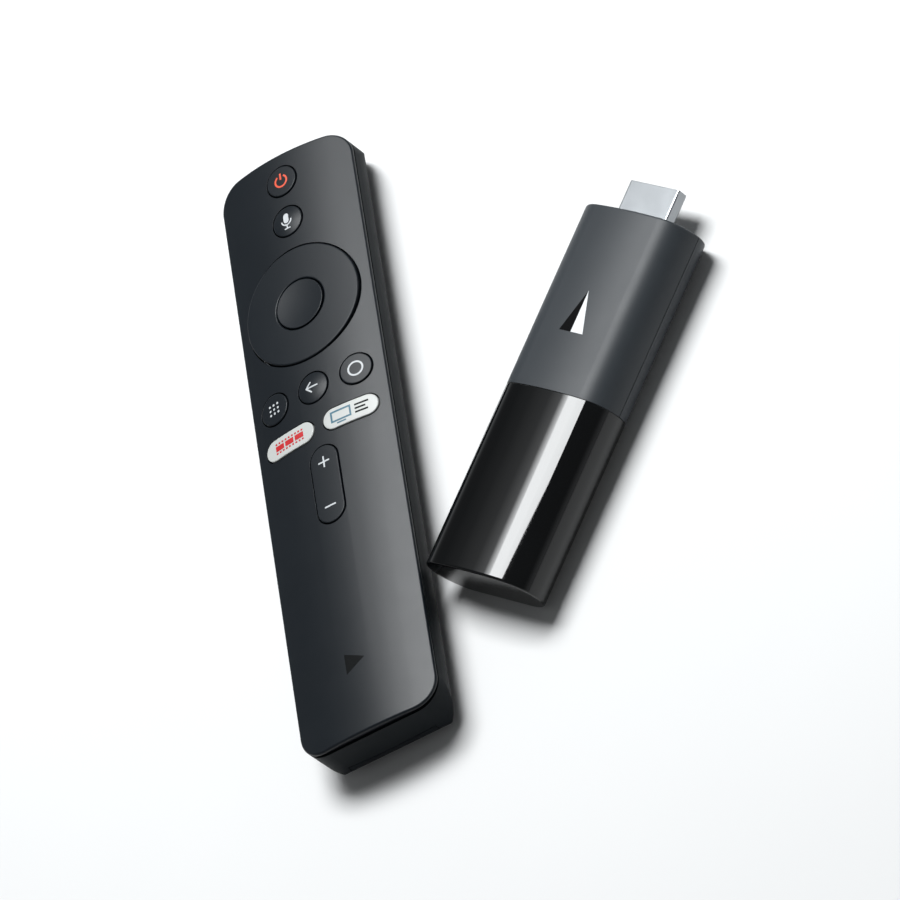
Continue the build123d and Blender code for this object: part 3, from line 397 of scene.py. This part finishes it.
# ----------------------------------------------------------------------------------------------------
# Floor, light and camera
# ----------------------------------------------------------------------------------------------------
floor_data = bpy.data.meshes.new("floor")
FLOOR_REACH = 4.0
FLOOR_DROP = 0.0002  # the floor lies this far under the part, in metres
floor_z = start_low.z - FLOOR_DROP
floor_corners = [(x * FLOOR_REACH, y * FLOOR_REACH, floor_z) for x, y in ((-1, -1), (1, -1), (1, 1), (-1, 1))]
floor_data.from_pydata(floor_corners, [], [(0, 1, 2, 3)])
floor = bpy.data.objects.new("floor", floor_data)
scene.collection.objects.link(floor)
floor_data.materials.append(material("pale_floor", (220, 220, 220), (223, 223, 223), 0.8, grain=300, bump=0.02,
                                     wear=0.0, mottle=3))

# a dim room, a little brighter towards the horizon
world = bpy.data.worlds.new("studio")
world.use_nodes = True
room = world.node_tree
sky = room.nodes["Background"]
sky.inputs["Color"].default_value = (0.95, 0.98, 1.0, 1.0)
heading = room.nodes.new("ShaderNodeTexCoord")
parts_of = room.nodes.new("ShaderNodeSeparateXYZ")
climb = room.nodes.new("ShaderNodeMapRange")
climb.interpolation_type = "SMOOTHSTEP"
climb.inputs["From Max"].default_value = 0.4
climb.inputs["To Min"].default_value = 0.5
climb.inputs["To Max"].default_value = 0.12
room.links.new(heading.outputs["Generated"], parts_of.inputs[0])
room.links.new(parts_of.outputs["Z"], climb.inputs[0])
room.links.new(climb.outputs[0], sky.inputs["Strength"])
scene.world = world

# a softbox overhead, set askew and facing down, with a skirt past one end that fades out; all in metres
BOX_Z = 1.0
BOX_TURN = radians(-30)
BOX_START = Vector((-0.235, 0.49))
BOX_LENGTH, BOX_LOW, BOX_HIGH = 0.62, -0.13, 0.34
SKIRT_LENGTH = 0.9
BOX_RADIANCE = 21.0
along_box = Vector((cos(BOX_TURN), sin(BOX_TURN)))
across_box = Vector((-sin(BOX_TURN), cos(BOX_TURN)))


def overhead(name, first, last):
    """A rectangular light that faces down, from first to last along the softbox's length."""
    data = bpy.data.lights.new(name, "AREA")
    data.shape = "RECTANGLE"
    data.size = last - first
    data.size_y = BOX_HIGH - BOX_LOW
    data.energy = BOX_RADIANCE * pi * data.size * data.size_y
    data.color = (0.97, 0.99, 1.0)
    lamp = bpy.data.objects.new(name, data)
    centre = BOX_START + along_box * (first + last) / 2 + across_box * (BOX_LOW + BOX_HIGH) / 2
    lamp.location = (centre.x, centre.y, BOX_Z)
    lamp.rotation_euler = (0, 0, BOX_TURN)
    scene.collection.objects.link(lamp)
    return data


overhead("softbox", 0, BOX_LENGTH)
skirt = overhead("softbox_skirt", -SKIRT_LENGTH, 0)
skirt.use_nodes = True
glow = skirt.node_tree.nodes["Emission"]
place = skirt.node_tree.nodes.new("ShaderNodeNewGeometry")
apart = skirt.node_tree.nodes.new("ShaderNodeSeparateXYZ")
fade = skirt.node_tree.nodes.new("ShaderNodeValToRGB")
skirt.node_tree.links.new(place.outputs["Parametric"], apart.inputs[0])
skirt.node_tree.links.new(apart.outputs["X"], fade.inputs[0])
skirt.node_tree.links.new(fade.outputs[0], glow.inputs["Strength"])
fade.color_ramp.elements[0].color = (0, 0, 0, 1)
fade.color_ramp.elements[1].color = (0.6, 0.6, 0.6, 1)
for position, level in ((0.4, 0.006), (0.75, 0.022), (0.92, 0.07)):
    stop = fade.color_ramp.elements.new(position)
    stop.color = (level, level, level, 1)

# the camera looks just beside the origin from the viewing angle of the reference view
AZIMUTH, ELEVATION, ROLL, DISTANCE = radians(36.06), radians(45.69), radians(54.36), 1.711
FIELD = 2 * atan(0.056149632531849324)  # from the view's half-width at unit distance
back = Vector((sin(AZIMUTH) * cos(ELEVATION), -cos(AZIMUTH) * cos(ELEVATION), sin(ELEVATION)))
level = (-back).cross(Vector((0, 0, 1))).normalized()
rise = level.cross(-back)
right = level * cos(ROLL) - rise * sin(ROLL)
up = level * sin(ROLL) + rise * cos(ROLL)
ASIDE, ABOVE = 0.01144, 0.00158
forward = (right * ASIDE + up * ABOVE - back).normalized()
right = (right - forward * right.dot(forward)).normalized()
up = right.cross(forward)
camera_data = bpy.data.cameras.new("camera")
camera_data.sensor_width = 36.0
camera_data.angle = FIELD
camera_data.clip_start = 0.05
camera_data.clip_end = 20.0
camera = bpy.data.objects.new("camera", camera_data)
turn = Matrix((right, up, -forward)).transposed()
camera.matrix_world = Matrix.Translation(back * DISTANCE) @ turn.to_4x4()
scene.collection.objects.link(camera)
scene.camera = camera
scene.view_settings.view_transform = "Standard"
